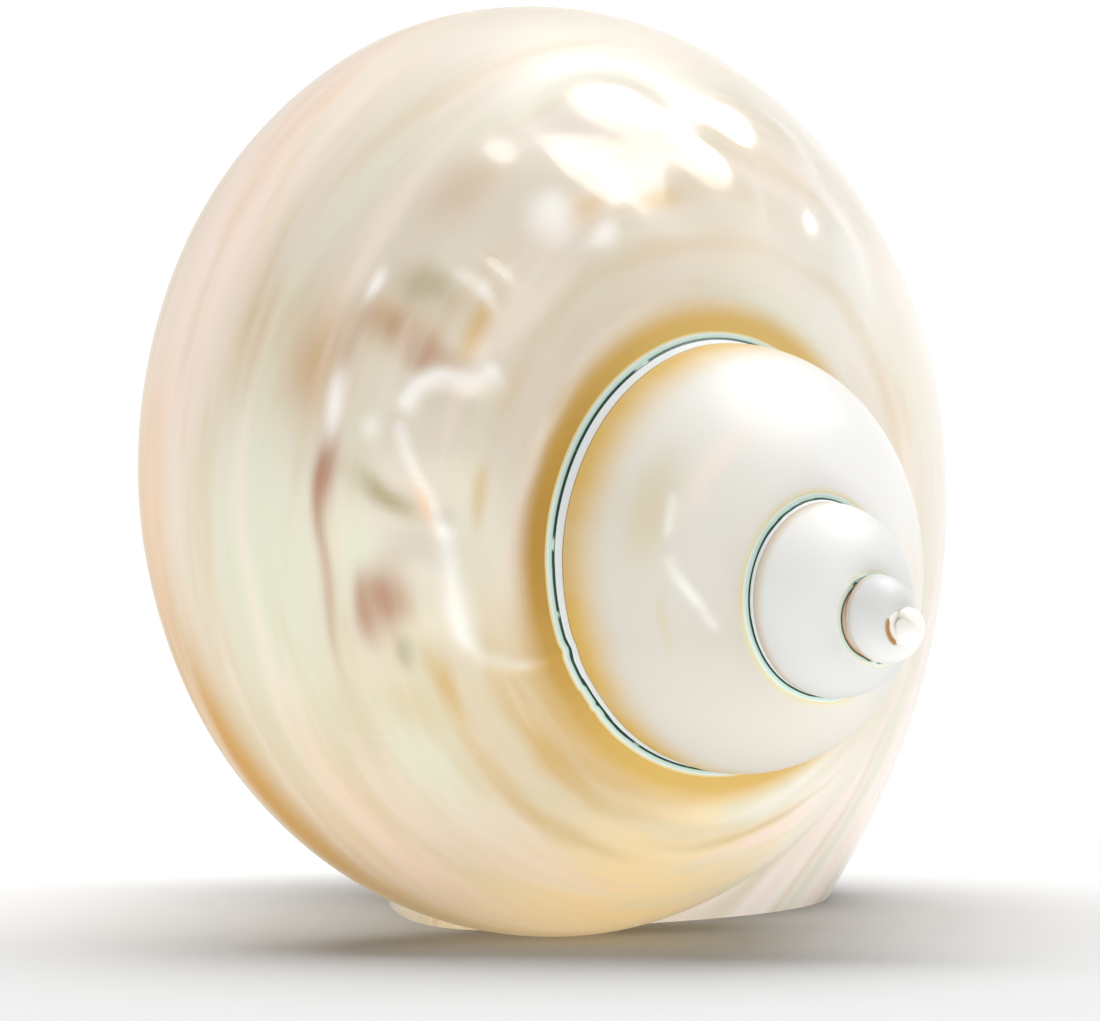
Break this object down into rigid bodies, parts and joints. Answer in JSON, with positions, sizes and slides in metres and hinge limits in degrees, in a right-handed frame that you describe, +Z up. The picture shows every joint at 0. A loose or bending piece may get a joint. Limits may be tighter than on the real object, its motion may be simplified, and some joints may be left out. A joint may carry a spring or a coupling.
{
  "type": "turban shell",
  "caption": "Polished mother-of-pearl turban shell, a hollow right-handed coil with a round body whorl and a short stepped spire, lying on its open mouth.",
  "frame": {"origin": "centre of the box around the shell, on the surface that it lies on", "axes": "+Z up; +Y along the longest side, away from the tip of the spire; +X along the shortest side, to the right of someone who looks along +Y at the spire"},
  "size_m": [0.0495, 0.074, 0.0561],
  "materials": {
    "pearl": "polished nacre"
  },
  "bodies": {
    "root": {"shell": "pearl"}
  },
  "joints": []
}
